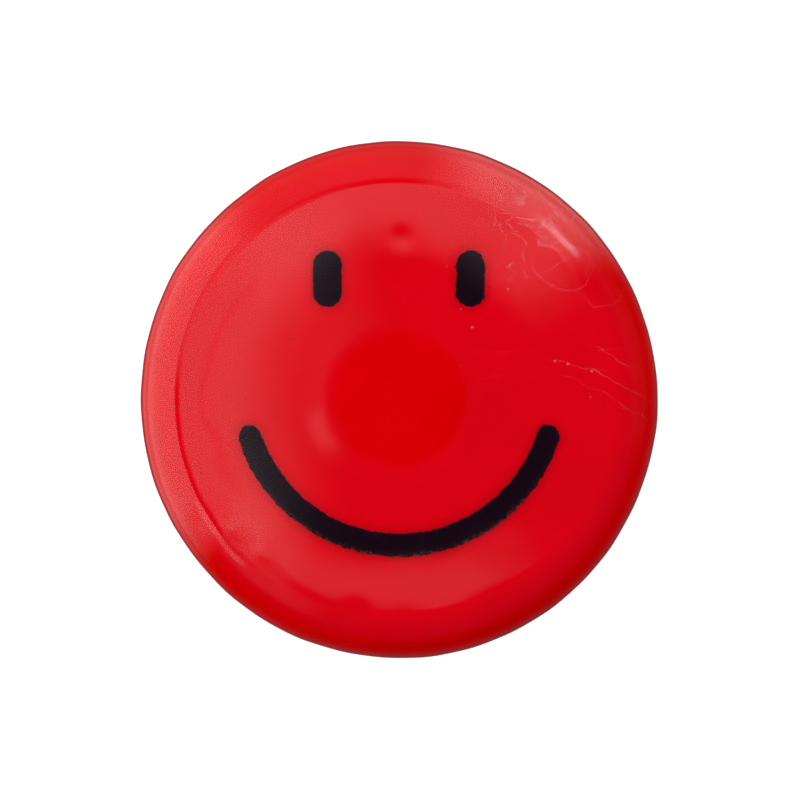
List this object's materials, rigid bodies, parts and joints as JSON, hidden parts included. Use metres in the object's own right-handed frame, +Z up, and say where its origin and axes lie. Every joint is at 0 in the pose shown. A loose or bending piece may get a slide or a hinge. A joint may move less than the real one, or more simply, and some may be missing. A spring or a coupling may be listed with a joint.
{
  "type": "button badge",
  "caption": "Round domed button badge with a red face, a plain happy-face print and a hinged bar pin with a turning catch on its back.",
  "frame": {"origin": "middle of the pin stem, on the stem's own axis, with the stem closed", "axes": "+X along the stem towards its point, +Z up as the badge is worn, the face looks along -Y"},
  "size_m": [0.038, 0.0111, 0.038],
  "materials": {
    "clear_film": "clear glossy film",
    "red_print": "red print on coated sheet",
    "black_ink": "black screen ink",
    "tinplate": "bright tinplate with rolling grain",
    "nickel_plate": "nickel-plated steel, lightly rubbed",
    "spring_steel": "drawn and ground steel wire"
  },
  "bodies": {
    "badge": {"clear_film": "clear_film", "printed_eyes": "black_ink", "printed_mouth": "black_ink", "printed_sheet": "red_print", "front_shell": "tinplate", "back_plate": "tinplate", "pin_bar": "nickel_plate", "bar_rivets": "nickel_plate", "hinge_bracket": "nickel_plate", "hinge_rivet": "nickel_plate", "catch_housing": "nickel_plate"},
    "stem": {"pin_stem": "spring_steel"},
    "barrel": {"catch_barrel": "spring_steel"}
  },
  "joints": [
    {"name": "stem_hinge", "type": "hinge", "parent": "badge", "child": "stem", "pos_m": [-0.0109, -0.00095, 0], "axis": [0, 0, 1], "range_deg": [0, 100]},
    {"name": "catch_turn", "type": "hinge", "parent": "badge", "child": "barrel", "pos_m": [0.0105, 0, 0], "axis": [1, 0, 0], "range_deg": [0, 90]}
  ]
}
